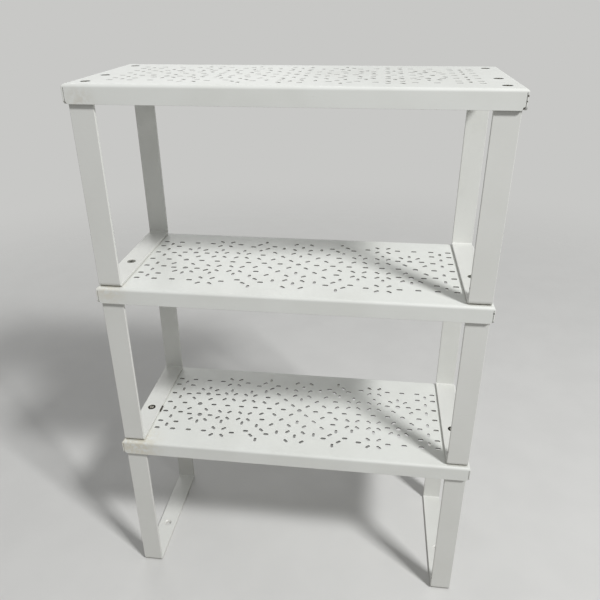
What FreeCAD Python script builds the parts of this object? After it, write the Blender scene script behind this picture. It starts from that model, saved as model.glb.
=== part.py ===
import FreeCAD, Part
import Sketcher
import math
import os
import re

# A three-tier kitchen shelf riser: three identical sheet steel risers, screwed one on another.
# Each riser is a folded and perforated shelf plate on two leg frames of bent flat strip.
# Frame: origin at the middle of the footprint on the table, +X right, +Y back, +Z up, in mm.

TIERS = ("bottom", "middle", "top")
SIDES = ("left", "right")

DIMENSIONS = {
    # one riser
    "plate_length": 320,        # left to right, outside the end flanges
    "plate_depth": 130,         # front to back, outside the flanges
    "riser_height": 160,        # underside of the foot strips to the plate's upper face
    "flange_height": 14,
    "sheet_gauge": 1,
    "plate_bend": 2.4,          # outer radius where the rim folds down
    "flange_corner": 3,         # rounding of each flange's free corners
    "seam_width": 0.4,          # open seam between two flanges at a corner
    # leg frames
    "strip_width": 18.5,
    "strip_gauge": 2.5,
    "strip_bend": 4,            # outer radius of the strip's four bends
    "strip_edge": 0.4,          # rounding of the strip's long edges
    "leg_end_gap": 0.1,         # strip edge to the start of the plate's end bend
    "leg_face_gap": 1.5,        # leg face to the front and rear flanges
    "strip_joint": 1,           # gap where the strip's two ends meet under the plate
    "strip_joint_place": 18,    # that gap's place behind the middle
    # screws
    "front_screw_place": 50,    # in front of the middle
    "centre_screw_place": 14,   # in front of the middle
    "rear_screw_place": 50,     # behind the middle
    "head_diameter": 7.2,
    "head_rim": 0.15,           # straight edge of the head above its cone
    "head_sink": 0.1,           # the head lies this far below the surface
    "seat_gap": 0.1,            # head cone to its seat
    "shank_diameter": 4,
    "thread_gap": 0.1,          # shank to the tapped hole, on the radius
    "screw_reach": 2,           # end of the screw below the strip that holds it
    "tip_chamfer": 0.5,
    "recess_length": 4,
    "recess_width": 0.9,
    "recess_depth": 1.1,
    "foot_hole": 5,             # plain bore under the seat in the foot strip
    # petal perforation
    "petal_length": 5,
    "petal_width": 2.5,
    "round_hole": 4.6,
    "end_margin": 26.4,         # plate end to the middles of the outermost petals
    "edge_margin": 16.8,        # plate edge to the middles of the outermost petals
}

# Sizes worked out from the driving ones
LEG_HEIGHT = "(riser_height - sheet_gauge)"
LEG_DEPTH = "(plate_depth - 2 * sheet_gauge - 2 * leg_face_gap)"
LEG_PLACE = "(plate_length / 2 - plate_bend - leg_end_gap - strip_width / 2)"
SEAT_DIAMETER = "(head_diameter + 2 * (head_rim + head_sink + seat_gap))"
HEAD_DEPTH = "(head_rim + (head_diameter - shank_diameter) / 2)"
SCREW_PLACES = {
    "front": "-front_screw_place",
    "centre": "-centre_screw_place",
    "rear": "rear_screw_place",
}

doc = FreeCAD.newDocument("tiered_shelf_riser")
sheet = doc.addObject("Spreadsheet::Sheet", "sizes")
for row, (alias, value) in enumerate(DIMENSIONS.items(), start=1):
    sheet.set("A%d" % row, alias)
    sheet.set("B%d" % row, str(value))
    sheet.setAlias("B%d" % row, alias)
doc.recompute()


# ---------------------------------------------------------------- helpers

def size(alias):
    """The number in one cell of the sheet, in millimetres."""
    return float(sheet.get(alias))


def cells(expression):
    """An expression in plain aliases, rewritten to read the sheet."""
    def from_sheet(word):
        return "sizes." + word.group() if word.group() in DIMENSIONS else word.group()
    return re.sub("[a-z_]+", from_sheet, expression)


def bind(thing, path, expression):
    thing.setExpression(path, cells(expression))


def new_body(name, x="0", y="0", z="0"):
    """A body with its own label, placed by expressions."""
    body = doc.addObject("PartDesign::Body", name)
    body.Label = name
    for axis, place in zip("xyz", (x, y, z)):
        bind(body, "Placement.Base." + axis, place)
    return body


def new_sketch(body, name, plane, height="0"):
    """A sketch on one of the body's own origin planes, moved by height along its normal."""
    sketch = body.newObject("Sketcher::SketchObject", body.Name + "_" + name)
    sketch.AttachmentSupport = [(origin_part(body, plane), "")]
    sketch.MapMode = "FlatFace"
    bind(sketch, "AttachmentOffset.Base.z", height)
    return sketch


def origin_part(body, role):
    return [part for part in body.Origin.OriginFeatures if part.Role == role][0]


def named_size(sketch, name, expression, kind, *places):
    """A size constraint with a name, bound to the sheet."""
    number = sketch.addConstraint(Sketcher.Constraint(kind, *places, 1.0))
    sketch.renameConstraint(number, name)
    bind(sketch, "Constraints." + name, expression)


def rectangle(sketch, width, height, left="", bottom=""):
    """A rectangle centred on the sketch's origin, unless its left or lower side has a place."""
    left = left or "-(%s) / 2" % width
    bottom = bottom or "-(%s) / 2" % height
    near, low = size_of(left), size_of(bottom)
    far, high = near + size_of(width), low + size_of(height)
    corners = [FreeCAD.Vector(near, low, 0), FreeCAD.Vector(far, low, 0),
               FreeCAD.Vector(far, high, 0), FreeCAD.Vector(near, high, 0)]
    for start, end in zip(corners, corners[1:] + corners[:1]):
        sketch.addGeometry(Part.LineSegment(start, end), False)
    bottom_side, right_side, top_side, left_side = range(4)
    for side in range(4):
        sketch.addConstraint(Sketcher.Constraint("Coincident", side, 2, (side + 1) % 4, 1))
    for side in (bottom_side, top_side):
        sketch.addConstraint(Sketcher.Constraint("Horizontal", side))
    for side in (right_side, left_side):
        sketch.addConstraint(Sketcher.Constraint("Vertical", side))
    named_size(sketch, "width", width, "DistanceX", bottom_side, 1, bottom_side, 2)
    named_size(sketch, "height", height, "DistanceY", right_side, 1, right_side, 2)
    named_size(sketch, "left", left, "DistanceX", -1, 1, bottom_side, 1)
    named_size(sketch, "bottom", bottom, "DistanceY", -1, 1, bottom_side, 1)


def points_of_holes(sketch, places, diameter):
    """Circles for a hole feature, each centred at an (x, y) pair of signed expressions."""
    for number, (across, along) in enumerate(places):
        start = FreeCAD.Vector(size_of(across), size_of(along), 0)
        circle = sketch.addGeometry(
            Part.Circle(start, FreeCAD.Vector(0, 0, 1), size_of(diameter) / 2), False)
        named_size(sketch, "across_%d" % number, across, "DistanceX", -1, 1, circle, 3)
        named_size(sketch, "along_%d" % number, along, "DistanceY", -1, 1, circle, 3)
        named_size(sketch, "diameter_%d" % number, diameter, "Diameter", circle)


def size_of(expression):
    """The present value of an expression in plain aliases."""
    def number(word):
        return repr(size(word.group()))
    terms = re.sub("[a-z_]+", number, expression)
    return float(FreeCAD.Units.Quantity(terms).Value)


def feature(body, kind, name, sketch=None, **settings):
    """A PartDesign feature from a sketch; text settings are bound to the sheet."""
    made = body.newObject("PartDesign::" + kind, body.Name + "_" + name)
    if sketch:
        made.Profile = sketch
    for setting, value in settings.items():
        if isinstance(value, str) and setting != "Type":
            bind(made, setting, value)
        else:
            setattr(made, setting, value)
    doc.recompute()
    return made


def countersunk_holes(body, name, sketch, bore, seat, gauge):
    """Flat-head screw seats: a plain bore under a right-angled cone, right through the gauge."""
    doc.recompute()
    hole = body.newObject("PartDesign::Hole", body.Name + "_" + name)
    hole.Profile = sketch
    hole.ThreadType = "None"
    hole.DepthType = "Dimension"
    hole.HoleCutType = "Countersink"
    hole.HoleCutCustomValues = True
    hole.HoleCutCountersinkAngle = 90
    hole.DrillPoint = "Flat"
    bind(hole, "Depth", "%s + 2 * %s" % (HEAD_DEPTH, gauge))
    bind(hole, "Diameter", bore)
    bind(hole, "HoleCutDiameter", seat)
    doc.recompute()
    return hole


def round_edges(body, name, base, radius, chosen):
    """A fillet on the edges of the base feature that the chosen test accepts."""
    edges = ["Edge%d" % number for number, edge in enumerate(base.Shape.Edges, start=1)
             if chosen(edge)]
    fillet = body.newObject("PartDesign::Fillet", body.Name + "_" + name)
    fillet.Base = (base, edges)
    bind(fillet, "Radius", radius)
    doc.recompute()
    return fillet


def lies_along(edge, axis):
    """True for a straight edge that runs along one of the body's axes."""
    if not isinstance(edge.Curve, Part.Line):
        return False
    direction = edge.Curve.Direction
    return abs(abs(direction[axis]) - 1) < 1e-6


def lies_level(edge, height):
    """True for an edge that lies whole at one height."""
    return close(edge.BoundBox.ZMin, height) and close(edge.BoundBox.ZMax, height)


def close(first, second):
    return abs(first - second) < 1e-4


# ---------------------------------------------------------------- shelf plate

def shelf_blank():
    """The folded tray before it is perforated: its flanges' lower edges lie at z = 0."""
    body = new_body("shelf_blank")
    inside_depth = "flange_height - sheet_gauge"

    outline = new_sketch(body, "outline", "XY_Plane")
    rectangle(outline, "plate_length", "plate_depth")
    feature(body, "Pad", "slab", outline, Length="flange_height")

    inside = new_sketch(body, "inside", "XY_Plane")
    rectangle(inside, "plate_length - 2 * sheet_gauge", "plate_depth - 2 * sheet_gauge")
    tray = feature(body, "Pocket", "tray", inside, Length=inside_depth, Reversed=True)

    top = size("flange_height")
    ceiling = top - size("sheet_gauge")
    bends = round_edges(body, "bends", tray, "plate_bend", lambda edge: lies_level(edge, top))
    round_edges(body, "inner_bends", bends, "plate_bend - sheet_gauge",
                lambda edge: lies_level(edge, ceiling))

    seam = new_sketch(body, "seam", "XZ_Plane")
    rectangle(seam, "seam_width", "flange_height - plate_bend",
              left="plate_length / 2 - sheet_gauge - seam_width", bottom="0")
    right_seams = feature(body, "Pocket", "right_seams", seam, Type="ThroughAll", Midplane=True)
    seams = feature(body, "Mirrored", "seams")
    seams.Originals = [right_seams]
    seams.MirrorPlane = (origin_part(body, "YZ_Plane"), [""])
    body.Tip = seams
    doc.recompute()

    front = size("plate_depth") / 2
    flange_end = size("plate_length") / 2 - size("sheet_gauge") - size("seam_width")

    def free_corner(edge):
        if not close(edge.BoundBox.ZMax, 0):
            return False
        on_long_flange = lies_along(edge, 1) and close(abs(edge.BoundBox.XMin), flange_end)
        on_end_flange = lies_along(edge, 0) and close(abs(edge.BoundBox.YMin), front)
        return on_long_flange or (on_end_flange and edge.Length < 2 * size("sheet_gauge"))

    round_edges(body, "free_corners", seams, "flange_corner", free_corner)

    holes = new_sketch(body, "screw_places", "XY_Plane", "flange_height")
    places = [(sign + LEG_PLACE, place) for sign in ("-", "") for place in SCREW_PLACES.values()]
    points_of_holes(holes, places, "shank_diameter")
    countersunk_holes(body, "screw_seats", holes, "shank_diameter + 2 * thread_gap",
                      SEAT_DIAMETER, "sheet_gauge")
    return body


# The perforation is one quarter, mirrored to the other three. Places are written for a pattern
# that reaches 133.6 and 48.2 mm from the middle, and stretch with the plate. A petal is
# (x, y, turn), with its turn in degrees from the X axis; a round hole has no turn.

PATTERN_REACH = (133.6, 48.2)


def ring_of_petals(x, y, reach, turns):
    """Petals on a circle, each pointing at its middle."""
    return [(x + reach * math.cos(math.radians(turn)), y + reach * math.sin(math.radians(turn)),
             turn) for turn in turns]


def end_ladder():
    """Two columns of lying petals with standing ones between them."""
    lying = [(x, y, 0) for x in (118.2, 133.6) for y in (0, 15.3, 30.7, 41.3)]
    standing = [(125.9, y, 90) for y in (9.3, 23, 35.8)]
    return lying + standing


def edge_row():
    return [(x, 41, 0) for x in (60.4, 87.7, 102.7)]


def middle_row():
    """Lying petals at an even step between the middle hole and the end hole."""
    first, step = 16.3, 14.3
    return [(first + step * number, 0, 0) for number in range(6)] + [(102.2, 0, None)]


def four_petal_stars():
    """Diagonal petals round a point, two of the three stars with a petal standing on top."""
    diagonals = (45, 135, 225, 315)
    stars = ring_of_petals(74.2, 40.8, 7.2, diagonals)
    for x in (53.5, 74.2):
        stars += ring_of_petals(x, 15, 6.9, diagonals)
        stars.append((x, 25.6, 90))
    return stars


def rosette():
    """Petals round the hole near the end, and two more that point at the end hole."""
    around = ring_of_petals(98, 17.2, 10.5, (0, 45, 90, 135, 180))
    return around + [(98, 17.2, None)] + ring_of_petals(102.2, 0, 12.3, (45, 135))


def blossom():
    """Six petals round a point in the upper middle, spread like a swirl."""
    x, y = 37.4, 38.1
    half = [(10.1, -1.2, 0), (4.4, 4.4, 135), (-1.2, 10.1, 90)]
    return [(x + side * dx, y + side * dy, turn) for dx, dy, turn in half for side in (-1, 1)]


def middle_fan():
    """The diagonal rays of the middle hole and the petals that stand over it."""
    rays = ring_of_petals(0, 0, 10.6, (45,)) + ring_of_petals(0, 0, 22.7, (45,))
    rays += ring_of_petals(0, 0, 34.9, (45,))
    roofs = [(7.4, y, 135) for y in (24.3, 46.5)] + [(7.4, 33.4, 45)]
    standing = [(0, 18.2, 90), (0, 39.1, 90), (17.7, 35.2, 90)]
    arch = [(24, 9, 135), (37.1, 9.2, 45), (34.9, 18.2, 0), (0, 0, None)]
    return rays + roofs + standing + arch


def whole_pattern():
    """Every cut-out of the plate, the mirrored ones included, each once."""
    quarter = (end_ladder() + edge_row() + middle_row() + four_petal_stars() + rosette()
               + blossom() + middle_fan())
    stretch_x = (size("plate_length") / 2 - size("end_margin")) / PATTERN_REACH[0]
    stretch_y = (size("plate_depth") / 2 - size("edge_margin")) / PATTERN_REACH[1]
    cuts = {}
    for x, y, turn in quarter:
        for side in (-1, 1):
            for end in (-1, 1):
                mirrored_turn = None if turn is None else side * end * turn
                place = (round(side * x * stretch_x, 3) + 0.0, round(end * y * stretch_y, 3) + 0.0)
                cuts[place] = mirrored_turn
    return [(x, y, turn) for (x, y), turn in cuts.items()]


def petal_outline():
    """A slot with round ends, its middle at the origin, along X."""
    radius = size("petal_width") / 2
    reach = size("petal_length") / 2 - radius
    left_low = FreeCAD.Vector(-reach, -radius, 0)
    right_low = FreeCAD.Vector(reach, -radius, 0)
    right_high = FreeCAD.Vector(reach, radius, 0)
    left_high = FreeCAD.Vector(-reach, radius, 0)
    right_end = Part.Arc(right_low, FreeCAD.Vector(reach + radius, 0, 0), right_high)
    left_end = Part.Arc(left_high, FreeCAD.Vector(-reach - radius, 0, 0), left_low)
    return Part.Wire([Part.LineSegment(left_low, right_low).toShape(), right_end.toShape(),
                      Part.LineSegment(right_high, left_high).toShape(), left_end.toShape()])


def petal_punches():
    """The punches that cut the perforation: one upright prism for each cut-out."""
    height = 3 * size("sheet_gauge")
    petal = Part.Face(petal_outline()).extrude(FreeCAD.Vector(0, 0, height))
    round_punch = Part.makeCylinder(size("round_hole") / 2, height)
    punches = []
    for x, y, turn in whole_pattern():
        punch = (round_punch if turn is None else petal).copy()
        punch.Placement = FreeCAD.Placement(
            FreeCAD.Vector(x, y, size("flange_height") - 2 * size("sheet_gauge")),
            FreeCAD.Rotation(FreeCAD.Vector(0, 0, 1), turn or 0))
        punches.append(punch)
    tool = doc.addObject("Part::Feature", "petal_punches")
    tool.Shape = Part.makeCompound(punches)
    return tool


def shelf_plate(tier, blank, punches):
    """One riser's plate: the folded tray, punched, at the riser's height."""
    plate = doc.addObject("Part::Cut", tier + "_shelf_plate")
    plate.Label = tier + "_shelf_plate"
    plate.Base = blank
    plate.Tool = punches
    bind(plate, "Placement.Base.z", "riser_height * %d - flange_height" % (TIERS.index(tier) + 1))
    return plate


# ---------------------------------------------------------------- leg frame

def leg_frame(tier, side):
    """A flat strip bent into an upright rectangle that stands across the riser's end."""
    sign = "-" if side == "left" else ""
    body = new_body("%s_%s_leg_frame" % (tier, side), x=sign + LEG_PLACE,
                    z="riser_height * %d" % TIERS.index(tier))

    outline = new_sketch(body, "outline", "YZ_Plane")
    rectangle(outline, LEG_DEPTH, LEG_HEIGHT, bottom="0")
    feature(body, "Pad", "block", outline, Length="strip_width", Midplane=True)

    window = new_sketch(body, "window", "YZ_Plane")
    rectangle(window, LEG_DEPTH + " - 2 * strip_gauge", LEG_HEIGHT + " - 2 * strip_gauge",
              bottom="strip_gauge")
    loop = feature(body, "Pocket", "loop", window, Type="ThroughAll", Midplane=True)

    gauge = size("strip_gauge")
    top = size("riser_height") - size("sheet_gauge")

    def outer_corner(edge):
        return lies_along(edge, 0) and (close(edge.BoundBox.ZMin, 0) or close(edge.BoundBox.ZMin, top))

    def inner_corner(edge):
        level = edge.BoundBox.ZMin
        return lies_along(edge, 0) and (close(level, gauge) or close(level, top - gauge))

    outer = round_edges(body, "outer_bends", loop, "strip_bend", outer_corner)
    bent = round_edges(body, "inner_bends", outer, "strip_bend - strip_gauge", inner_corner)
    strip_side = size("strip_width") / 2
    round_edges(body, "strip_edges", bent, "strip_edge",
                lambda edge: close(abs(edge.BoundBox.XMin), strip_side)
                and close(edge.BoundBox.XMin, edge.BoundBox.XMax))

    joint = new_sketch(body, "joint", "XY_Plane", LEG_HEIGHT)
    rectangle(joint, "2 * strip_width", "strip_joint", left="-strip_width",
              bottom="strip_joint_place")
    feature(body, "Pocket", "strip_ends", joint, Length="2 * strip_gauge")

    tapped = new_sketch(body, "tapped_places", "XY_Plane", LEG_HEIGHT)
    points_of_holes(tapped, [("0", place) for place in SCREW_PLACES.values()], "shank_diameter")
    countersunk_holes(body, "tapped_holes", tapped, "shank_diameter + 2 * thread_gap",
                      SEAT_DIAMETER + " - 2 * sheet_gauge", "strip_gauge")

    foot = new_sketch(body, "foot_place", "XY_Plane", "strip_gauge")
    points_of_holes(foot, [("0", SCREW_PLACES["centre"])], "foot_hole")
    countersunk_holes(body, "foot_seat", foot, "foot_hole", SEAT_DIAMETER, "strip_gauge")
    return body


# ---------------------------------------------------------------- screws

def flat_head_screw(name, x, y, z, length):
    """A countersunk machine screw with a cross recess, its head's face at z."""
    body = new_body(name, x, y, z)
    profile = new_sketch(body, "profile", "XZ_Plane")
    corners = (
        ("0", "0"),
        ("head_diameter / 2", "0"),
        ("head_diameter / 2", "-head_rim"),
        ("shank_diameter / 2", "-" + HEAD_DEPTH),
        ("shank_diameter / 2", "-(%s - tip_chamfer)" % length),
        ("shank_diameter / 2 - tip_chamfer", "-" + length),
        ("0", "-" + length),
    )
    points = [FreeCAD.Vector(size_of(across), size_of(up), 0) for across, up in corners]
    for start, end in zip(points, points[1:] + points[:1]):
        profile.addGeometry(Part.LineSegment(start, end), False)
    for number, (across, up) in enumerate(corners):
        profile.addConstraint(Sketcher.Constraint(
            "Coincident", (number - 1) % len(corners), 2, number, 1))
        named_size(profile, "across_%d" % number, across, "DistanceX", -1, 1, number, 1)
        named_size(profile, "up_%d" % number, up, "DistanceY", -1, 1, number, 1)
    turned = feature(body, "Revolution", "turned", profile)
    turned.ReferenceAxis = (profile, ["V_Axis"])
    turned.Angle = 360
    doc.recompute()
    for number, (width, height) in enumerate((("recess_length", "recess_width"),
                                              ("recess_width", "recess_length"))):
        arm = new_sketch(body, "recess_%d" % number, "XY_Plane")
        rectangle(arm, width, height)
        feature(body, "Pocket", "recess_arm_%d" % number, arm, Length="recess_depth")
    return body


def riser_screws(tier):
    """The six screws of one riser. Where another riser stands on it, the centre ones are
    longer and lie in that riser's foot strips."""
    level = "riser_height * %d - head_sink" % (TIERS.index(tier) + 1)
    plain_length = "(sheet_gauge + strip_gauge + screw_reach)"
    tie_length = "(sheet_gauge + 2 * strip_gauge + screw_reach)"
    screws = []
    for side in SIDES:
        across = ("-" if side == "left" else "") + LEG_PLACE
        for place, along in SCREW_PLACES.items():
            ties_risers = place == "centre" and tier != TIERS[-1]
            name = "%s_%s_%s" % (tier, side, "tie_screw" if ties_risers else place + "_screw")
            raised = level + " + strip_gauge" if ties_risers else level
            length = tie_length if ties_risers else plain_length
            screws.append(flat_head_screw(name, across, along, raised, length))
    return screws


# ---------------------------------------------------------------- assembly and export

def build_riser():
    blank = shelf_blank()
    punches = petal_punches()
    pieces = []
    for tier in TIERS:
        pieces.append(shelf_plate(tier, blank, punches))
        for side in SIDES:
            pieces.append(leg_frame(tier, side))
        pieces.extend(riser_screws(tier))
    doc.recompute()
    return pieces


def check(pieces):
    """Stop at any failed object and at any piece that isn't one sound solid."""
    for item in doc.Objects:
        if "Invalid" in item.State or "Error" in item.State:
            raise RuntimeError("%s failed: %s" % (item.Name, item.State))
    for piece in pieces:
        shape = piece.Shape
        if shape.isNull() or not shape.isValid() or len(shape.Solids) != 1:
            raise RuntimeError("%s is not one sound solid" % piece.Label)
        print("%-30s %10.1f mm3" % (piece.Label, shape.Volume))


def export(pieces):
    os.makedirs("parts", exist_ok=True)
    for piece in pieces:
        piece.Shape.exportStep("parts/%s.step" % piece.Label)


riser_pieces = build_riser()
check(riser_pieces)
export(riser_pieces)
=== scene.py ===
import math

import bmesh
import bpy
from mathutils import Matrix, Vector


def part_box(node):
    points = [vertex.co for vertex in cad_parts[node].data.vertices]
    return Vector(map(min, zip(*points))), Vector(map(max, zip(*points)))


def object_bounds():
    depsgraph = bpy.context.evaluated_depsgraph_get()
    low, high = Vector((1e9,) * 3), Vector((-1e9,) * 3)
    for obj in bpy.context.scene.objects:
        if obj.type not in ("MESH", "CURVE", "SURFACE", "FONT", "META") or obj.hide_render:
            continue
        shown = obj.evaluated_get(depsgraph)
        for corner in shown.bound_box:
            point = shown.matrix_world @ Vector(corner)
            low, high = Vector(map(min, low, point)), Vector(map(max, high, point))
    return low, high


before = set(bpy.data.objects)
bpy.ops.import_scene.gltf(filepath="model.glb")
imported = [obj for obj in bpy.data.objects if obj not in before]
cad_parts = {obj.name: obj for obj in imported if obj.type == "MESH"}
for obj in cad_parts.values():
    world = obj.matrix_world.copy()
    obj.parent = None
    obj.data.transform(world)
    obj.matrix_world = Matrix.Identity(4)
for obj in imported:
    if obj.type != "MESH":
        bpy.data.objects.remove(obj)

# The looks of a three-tier shelf riser: white powder-coated sheet trays on bent strip legs,
# held by flat-head screws. Every shape is the frame's own. This script gives each piece its
# coating or plating, with its wear and dirt and some painted shade, highlight and reflection,
# and sets up a plain studio. Lengths are in metres.

MM = 0.001
BACKDROP = "C8C8C6"
COAT_THICKNESS = 0.08 * MM
SCREWS = [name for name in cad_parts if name.endswith("_screw")]
LEGS = [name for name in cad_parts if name.endswith("_leg_frame")]

# Where a Mix node keeps its colours
MIX_UNDER = 6
MIX_OVER = 7
MIX_RESULT = 2

cad_low, cad_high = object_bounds()


# ---------------------------------------------------------------- helpers

def linear(hex_colour):
    """The linear RGBA of an sRGB hex value such as "E4E3DD"."""
    channels = [int(hex_colour[start:start + 2], 16) / 255 for start in (0, 2, 4)]
    return tuple(c / 12.92 if c <= 0.04045 else ((c + 0.055) / 1.055) ** 2.4
                 for c in channels) + (1.0,)


def add(tree, kind, inputs=None, output=0, **settings):
    """Adds a node with its settings; each input is given a value or linked from an output.
    Gives back one of the node's outputs."""
    node = tree.nodes.new("ShaderNode" + kind)
    for name, value in settings.items():
        setattr(node, name, value)
    for name, value in (inputs or {}).items():
        if isinstance(value, bpy.types.NodeSocket):
            tree.links.new(value, node.inputs[name])
        else:
            node.inputs[name].default_value = value
    return node.outputs[output] if node.outputs else None


def new_material(name):
    """A material with an empty node tree."""
    material = bpy.data.materials.new(name)
    material.use_nodes = True
    material.node_tree.nodes.clear()
    return material, material.node_tree


def coat(names, material):
    """Puts a material on frame nodes."""
    for name in names:
        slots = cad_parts[name].data.materials
        slots.clear()
        slots.append(material)


def corner(node, ends, inward):
    """A corner of a node's box, moved inward by millimetres. Each of the three ends, right,
    back and up, is 0 or 1."""
    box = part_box(node)
    picked = Vector([box[end][axis] for axis, end in enumerate(ends)])
    return picked + Vector(inward) * MM


# ---------------------------------------------------------------- patterns

def tinted(tree, base, layers):
    """A colour with tints laid over it in turn. Each layer is a tint, the mask that says where
    it lies, and how well it covers, from 0 to 1."""
    colour = linear(base)
    for tint, mask, cover in layers:
        share = add(tree, "Math", {0: mask, 1: cover}, operation="MULTIPLY")
        colour = add(tree, "Mix", {0: share, MIX_UNDER: colour, MIX_OVER: linear(tint)},
                     MIX_RESULT, data_type="RGBA")
    return colour


def patches(tree, at, grain, thin, thick, stretch=(1, 1, 1), **texture):
    """Cloudy patches about one grain across: 0 where the cloud is below thin, 1 where it is
    above thick. A stretch under 1 draws them out along that axis."""
    drawn = add(tree, "Mapping", {"Vector": at, "Scale": stretch})
    cloud = add(tree, "TexNoise", {"Vector": drawn, "Scale": 1 / grain, **texture})
    return add(tree, "MapRange", {"Value": cloud, "From Min": thin, "From Max": thick},
               interpolation_type="SMOOTHSTEP")


def around(tree, at, spots):
    """1 at each of the (point, reach) spots, fading to 0 at its reach."""
    highest = 0.0
    for point, reach in spots:
        away = add(tree, "VectorMath", {0: at, 1: point}, "Value", operation="DISTANCE")
        spot = add(tree, "MapRange", {"Value": away, "From Min": reach, "From Max": 0.0},
                   interpolation_type="SMOOTHSTEP")
        highest = add(tree, "Math", {0: highest, 1: spot}, operation="MAXIMUM")
    return highest


def edge_wear_and_highlight_mask(tree, radius):
    """1 where the surface turns sharply within radius, 0 on flats. A rounded normal leans under
    6 degrees from the true one on flats, and 26 or more at a sharp turn."""
    rounded = add(tree, "Bevel", {"Radius": radius}, samples=6)
    true = add(tree, "NewGeometry", output="Normal")
    agreement = add(tree, "VectorMath", {0: rounded, 1: true}, "Value",
                    operation="DOT_PRODUCT")
    flat = 0.995
    sharp = 0.90
    return add(tree, "MapRange", {"Value": agreement, "From Min": flat, "From Max": sharp},
               interpolation_type="SMOOTHSTEP")


def crevices(tree, reach, closed, free):
    """1 in a crevice, 0 in the open. closed and free are the shares of a surface's view that
    nothing within reach blocks, in the one and in the other."""
    view = add(tree, "AmbientOcclusion", {"Distance": reach}, "AO", samples=6)
    return add(tree, "MapRange", {"Value": view, "From Min": free, "From Max": closed},
               interpolation_type="SMOOTHSTEP")


def punched_walls(tree, at):
    """1 on the upright walls of the perforation, 0 on every other face of a plate. The
    perforation keeps clear of the plate's rim."""
    end_margin = 22 * MM
    edge_margin = 12 * MM
    steep = 0.5
    reach = Vector(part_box("top_shelf_plate")[1]) - Vector((end_margin, edge_margin, 0))
    normal = add(tree, "NewGeometry", output="Normal")
    mask = 1.0
    for vector, axis, limit in ((normal, "Z", steep), (at, "X", reach.x), (at, "Y", reach.y)):
        along = add(tree, "SeparateXYZ", {"Vector": vector}, axis)
        size = add(tree, "Math", {0: along}, operation="ABSOLUTE")
        within = add(tree, "Math", {0: size, 1: limit}, operation="LESS_THAN")
        mask = add(tree, "Math", {0: mask, 1: within}, operation="MULTIPLY")
    return mask


def from_screw_axis(tree, at):
    """How far a point lies, level, from the nearest screw's axis. The screws stand in two
    mirrored rows, with the same few places along each."""
    middles = [(Vector(low) + Vector(high)) / 2 for low, high in map(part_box, SCREWS)]
    x = add(tree, "SeparateXYZ", {"Vector": at}, "X")
    y = add(tree, "SeparateXYZ", {"Vector": at}, "Y")
    side = add(tree, "Math", {0: x}, operation="ABSOLUTE")
    across = add(tree, "Math", {0: side, 1: abs(middles[0].x)}, operation="SUBTRACT")

    # Places along a row are told apart to a tenth of a millimetre, and none is a metre away
    decimals = 4
    along = 1.0
    for place in sorted({round(middle.y, decimals) for middle in middles}):
        offset = add(tree, "Math", {0: y, 1: place}, operation="SUBTRACT")
        distance = add(tree, "Math", {0: offset}, operation="ABSOLUTE")
        along = add(tree, "Math", {0: along, 1: distance}, operation="MINIMUM")
    level = add(tree, "CombineXYZ", {"X": across, "Y": along})
    return add(tree, "VectorMath", {0: level}, "Value", operation="LENGTH")


# ---------------------------------------------------------------- powder coating

def chipped(tree, at, spots):
    """1 where the coat is off near (point, reach) spots, with a jagged edge. What flakes off is
    a millimetre or two across."""
    flakes = add(tree, "TexNoise", {"Vector": at, "Scale": 1 / (1.6 * MM), "Detail": 3.0,
                                    "Roughness": 0.6})
    chance = add(tree, "Math", {0: around(tree, at, spots), 1: flakes}, operation="MULTIPLY")
    return add(tree, "MapRange", {"Value": chance, "From Min": 0.28, "From Max": 0.34},
               interpolation_type="SMOOTHSTEP")


def orange_peel(tree, at, bare_steel):
    """The normal of a sprayed skin: lumps of 1.5 mm over softened edges. They are a few microns
    high in life and drawn at 20, so that highlights show them. A chip goes through the coat."""
    lump_height = 0.02 * MM
    lumps = add(tree, "TexNoise", {"Vector": at, "Scale": 1 / (1.5 * MM), "Detail": 1.0})
    height = add(tree, "Math", {0: bare_steel, 1: -COAT_THICKNESS / lump_height, 2: lumps},
                 operation="MULTIPLY_ADD")
    softened = add(tree, "Bevel", {"Radius": 0.3 * MM}, samples=6)
    return add(tree, "Bump", {"Height": height, "Distance": lump_height, "Strength": 0.6,
                              "Normal": softened})


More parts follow.
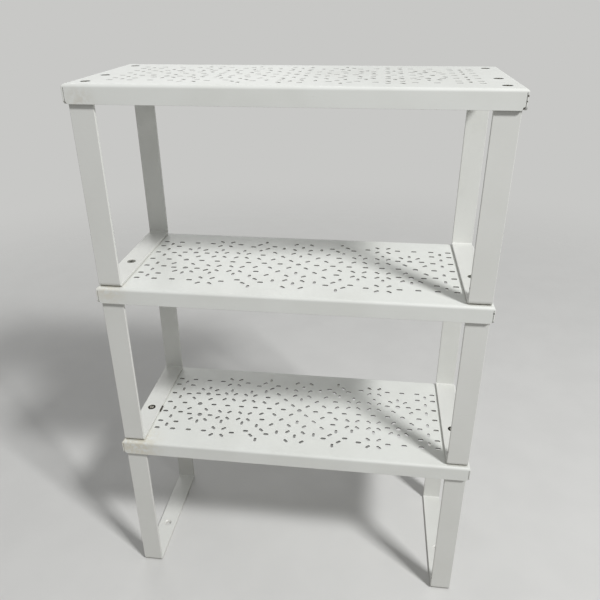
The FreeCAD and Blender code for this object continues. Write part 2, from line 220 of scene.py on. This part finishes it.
def powder_coat(name, white, edge_wear_and_highlight, chips, stains=(), hole_wall_shade=0.0):
    """Polyester powder, sprayed and baked on steel. To the eye: a satin white skin with a fine
    orange peel, creamier on the edges as wear and as a painted highlight, with faint handling
    marks, dirt and painted shade in the crevices and chips down to steel that has rusted dark.

    chips are (point, reach) spots and stains are (tint, point, reach); the last is how dark
    the walls of the perforation are painted as shade, from 0 to 1."""
    material, tree = new_material(name)
    at = add(tree, "TexCoord", output="Object")

    # Dull clouds as broad as a hand's touch, and fine rubs drawn out along the shelf
    clouds = patches(tree, at, 45 * MM, 0.35, 0.75, Detail=3.0)
    rubs = patches(tree, at, 6 * MM, 0.62, 0.78, (0.25, 1, 1.6), Detail=4.0, Roughness=0.7)
    layers = [("D6D7D1", clouds, 0.3),
              ("BDBCB4", rubs, 0.15),
              # Edges: a creamier tint, coat wear and a painted highlight
              (edge_wear_and_highlight, edge_wear_and_highlight_mask(tree, 0.5 * MM), 0.6),
              # Crevices: a warm darker tint, dirt and painted shade where nearby faces close in
              ("8F897C", crevices(tree, 5 * MM, 0.25, 0.75), 0.5)]
    # The walls of the perforation are painted dark as shade, more so on the lower plates
    if hole_wall_shade:
        layers.append(("2B2824", punched_walls(tree, at), hole_wall_shade))

    # Stains, broken up into blots
    blots = patches(tree, at, 5 * MM, 0.35, 0.6, Detail=5.0, Roughness=0.65)
    for tint, point, reach in stains:
        stained = add(tree, "Math", {0: around(tree, at, [(point, reach)]), 1: blots},
                      operation="MULTIPLY")
        layers.append((tint, stained, 0.45))
    bare_steel = chipped(tree, at, chips)
    layers.append(("4A453D", bare_steel, 1.0))

    # Satin, duller in clouds of 20 mm, and rougher by 0.3 where the coat is off
    sheen = patches(tree, at, 20 * MM, 0.3, 0.7)
    satin = add(tree, "MapRange", {"Value": sheen, "To Min": 0.34, "To Max": 0.42})
    roughness = add(tree, "Math", {0: bare_steel, 1: 0.3, 2: satin},
                    operation="MULTIPLY_ADD")
    surface = add(tree, "BsdfPrincipled", {
        "Base Color": tinted(tree, white, layers), "Roughness": roughness, "IOR": 1.5,
        "Normal": orange_peel(tree, at, bare_steel)})
    add(tree, "OutputMaterial", {"Surface": surface})
    return material


def scrape(node, ends, inward, reach, first, last):
    """Chip spots one millimetre apart that join into a scrape. It runs back from a corner of a
    node's box, between two distances in millimetres."""
    start = corner(node, ends, inward)
    return [(start + Vector((0, back, 0)) * MM, reach) for back in range(first, last)]


def coat_plates():
    """The plates are coated alike, and each is chipped and stained in its own places. The walls
    of their perforation are painted in shade, darker on the lower plates.
    """
    top, middle, bottom = (tier + "_shelf_plate" for tier in ("top", "middle", "bottom"))
    right_lip = (1, 0, 1)
    left_lip = (0, 0, 1)
    wear_and_shade_by_plate = {
        top: {"chips": [(corner(top, right_lip, (-0.6, 0, -4.5)), 1.6 * MM),
                        (corner(top, right_lip, (-0.8, 0, -8)), 1.2 * MM),
                        (corner(top, (1, 0, 0), (-2, 0, 1.2)), 2.4 * MM)],
              "stains": [("CFCABD", corner(top, (0, 0, 0), (12, 0, 2)), 16 * MM)],
              "hole_wall_shade": 0.42},
        middle: {"chips": [(corner(middle, right_lip, (-1, 0, -5)), 1.4 * MM)],
                 "stains": [("D9CFB8", corner(middle, left_lip, (10, 0, 0)), 22 * MM)],
                 "hole_wall_shade": 0.75},
        bottom: {"chips": scrape(bottom, left_lip, (21, 0, 0), 3 * MM, 48, 57),
                 "stains": [("CFC29E", corner(bottom, left_lip, (12, 0, -3)), 34 * MM)],
                 "hole_wall_shade": 0.98},
    }
    for plate, plate_wear_and_shade in wear_and_shade_by_plate.items():
        tier = plate.split("_")[0]
        coat([plate], powder_coat("powder_coated_sheet_" + tier, "E8EAE6", "F2F2ED", **plate_wear_and_shade))


def coat_legs():
    """The strip is coated like the sheet, and creamier along its rounded edges, as wear
    and as a painted highlight.
    """
    right_legs = [leg for leg in LEGS if "right" in leg]
    chips = [(corner(leg, (0, 0, 0), (0, 1, 14)), 2.4 * MM) for leg in right_legs]
    chips += scrape("middle_left_leg_frame", (1, 0, 0), (0, 0, 0.8), 2.4 * MM, 46, 54)
    coat(LEGS, powder_coat("powder_coated_strip", "E3E4E0", "F4ECDA", chips))


# ---------------------------------------------------------------- screws

def nickel(name, rim, centre, glancing):
    """Turned steel with a thin nickel plating. To the eye: a rim whose colour is a painted
    reflection of the surroundings, blotched with tarnish, a centre with a painted highlight,
    a recess darkened by dirt and painted shade, and a fine turning grain. glancing is its
    colour seen nearly level, also a painted reflection of the surroundings."""
    material, tree = new_material(name)
    at = add(tree, "TexCoord", output="Object")
    tarnish = patches(tree, at, 1.2 * MM, 0.35, 0.7, Detail=4.0, Roughness=0.6)
    # A painted highlight brightens the middle of each head
    centre_highlight = add(tree, "MapRange", {"Value": from_screw_axis(tree, at),
                                    "From Min": 2.5 * MM, "From Max": 1.5 * MM},
                 interpolation_type="SMOOTHSTEP")
    # The recess is painted dark, as dirt and as painted shade
    recess_dirt_and_shade = crevices(tree, 1 * MM, 0.0, 0.3)
    colour = tinted(tree, rim, [(centre, centre_highlight, 1.0), (rim, tarnish, 0.4),
                                ("1F1C19", recess_dirt_and_shade, 1.0)])
    roughness = add(tree, "MapRange", {"Value": tarnish, "To Min": 0.36, "To Max": 0.5})

    # Turning marks are some 0.05 mm apart in life, and drawn at 0.25 mm so that they show
    grain = add(tree, "TexNoise", {"Vector": at, "Scale": 1 / (0.25 * MM)})
    turned = add(tree, "Bump", {"Height": grain, "Distance": 0.006 * MM})
    surface = add(tree, "BsdfPrincipled", {
        "Base Color": colour, "Metallic": 1.0, "Specular Tint": linear(glancing),
        "Roughness": roughness, "Normal": turned})
    add(tree, "OutputMaterial", {"Surface": surface})
    return material


def finish_screws():
    """Most heads are painted dark, a reflection of dark surroundings, round a painted highlight
    in the middle. The pair that ties the two upper risers together is the same plating, painted
    an even grey reflection."""
    # Dark heads: a painted reflection of dark surroundings round a painted highlight
    coat(SCREWS, nickel("nickel_screws_painted_dark_reflection", "1C1A18", "DAD7CE", "4A4743"))
    upper_ties = [name for name in SCREWS if name.startswith("middle") and "tie" in name]
    # Upper ties: the same plating painted as an even grey reflection
    coat(upper_ties, nickel("nickel_screws_painted_grey_reflection", "73746F", "7C7D78", "F0F0EC"))


# ---------------------------------------------------------------- studio

def seen(tree):
    """1 for rays that show something to the eye, straight or in metal or glass, and 0 for
    those that only light it."""
    mask = 0.0
    for ray in ("Is Camera Ray", "Is Glossy Ray", "Is Transmission Ray"):
        mask = add(tree, "Math", {0: mask, 1: add(tree, "LightPath", output=ray)},
                   operation="MAXIMUM")
    return mask


def floor():
    """A round, pale, matt floor that keeps the riser's shadow and melts into the backdrop far
    off. It lights the riser from below as a duller one would."""
    solid_reach = 0.45
    full_reach = 1.4
    mesh = bmesh.new()
    bmesh.ops.create_circle(mesh, cap_ends=True, segments=96, radius=full_reach)
    data = bpy.data.meshes.new("floor")
    mesh.to_mesh(data)
    mesh.free()
    piece = bpy.data.objects.new("floor", data)
    bpy.context.collection.objects.link(piece)

    material, tree = new_material("matt_floor")
    at = add(tree, "TexCoord", output="Object")
    mottle = patches(tree, at, 60 * MM, 0.3, 0.7, Detail=3.0)
    shown = tinted(tree, "DBDBD9", [("DEDEDC", mottle, 1.0)])
    colour = add(tree, "Mix", {0: seen(tree), MIX_UNDER: linear("B4B2AE"), MIX_OVER: shown},
                 MIX_RESULT, data_type="RGBA")
    away = add(tree, "VectorMath", {0: at}, "Value", operation="LENGTH")
    fade = add(tree, "MapRange", {"Value": away, "From Min": full_reach,
                                  "From Max": solid_reach}, interpolation_type="SMOOTHSTEP")
    surface = add(tree, "BsdfPrincipled", {"Base Color": colour, "Roughness": 0.9,
                                           "Specular IOR Level": 0.1, "Alpha": fade})
    add(tree, "OutputMaterial", {"Surface": surface})
    data.materials.append(material)


def lamp(name, azimuth, elevation, distance, power, width):
    """A square soft lamp that points at the middle of the riser. Its azimuth is in degrees, 0
    in front and 90 to the right."""
    light = bpy.data.lights.new(name, "AREA")
    light.shape = "SQUARE"
    light.size = width
    light.energy = power
    piece = bpy.data.objects.new(name, light)
    bpy.context.collection.objects.link(piece)
    turn = math.radians(azimuth)
    rise = math.radians(elevation)
    direction = Vector((math.sin(turn) * math.cos(rise), -math.cos(turn) * math.cos(rise),
                        math.sin(rise)))
    piece.location = (cad_low + cad_high) / 2 + distance * direction
    piece.rotation_euler = direction.to_track_quat("Z", "Y").to_euler()


def lighting():
    """A key lamp near the front right, broad weak ones overhead and behind, and an even pale
    world that shows as the backdrop."""
    lamp("key_lamp", azimuth=49, elevation=47, distance=2.2, power=37, width=0.3)
    lamp("overhead_lamp", azimuth=-20, elevation=78, distance=2.4, power=1.5, width=1.5)
    lamp("rear_lamp", azimuth=-155, elevation=35, distance=2.4, power=7, width=1.6)

    world = bpy.data.worlds.new("studio")
    bpy.context.scene.world = world
    world.use_nodes = True
    tree = world.node_tree
    tree.nodes.clear()
    fill = add(tree, "Background", {"Color": linear("FFFFFF"), "Strength": 0.25})
    backdrop = add(tree, "Background", {"Color": linear(BACKDROP), "Strength": 1.0})
    both = add(tree, "MixShader", {0: seen(tree), 1: fill, 2: backdrop})
    add(tree, "OutputWorld", {"Surface": both})


def camera():
    """Stands in front, a little to the right and just above the top plate. It looks 26 degrees
    down and 7 to the left, and leans by a third of a degree."""
    data = bpy.data.cameras.new("camera")
    data.sensor_width = 36
    data.lens = 36.43
    data.shift_x = 0.0026
    data.shift_y = -0.0132
    piece = bpy.data.objects.new("camera", data)
    bpy.context.collection.objects.link(piece)
    piece.location = (0.0625, -0.4889, 0.5374)
    piece.rotation_euler = [math.radians(angle) for angle in (63.62, 0.37, 7.11)]
    bpy.context.scene.camera = piece


bpy.context.scene.view_settings.view_transform = "Standard"
coat_plates()
coat_legs()
finish_screws()
floor()
lighting()
camera()
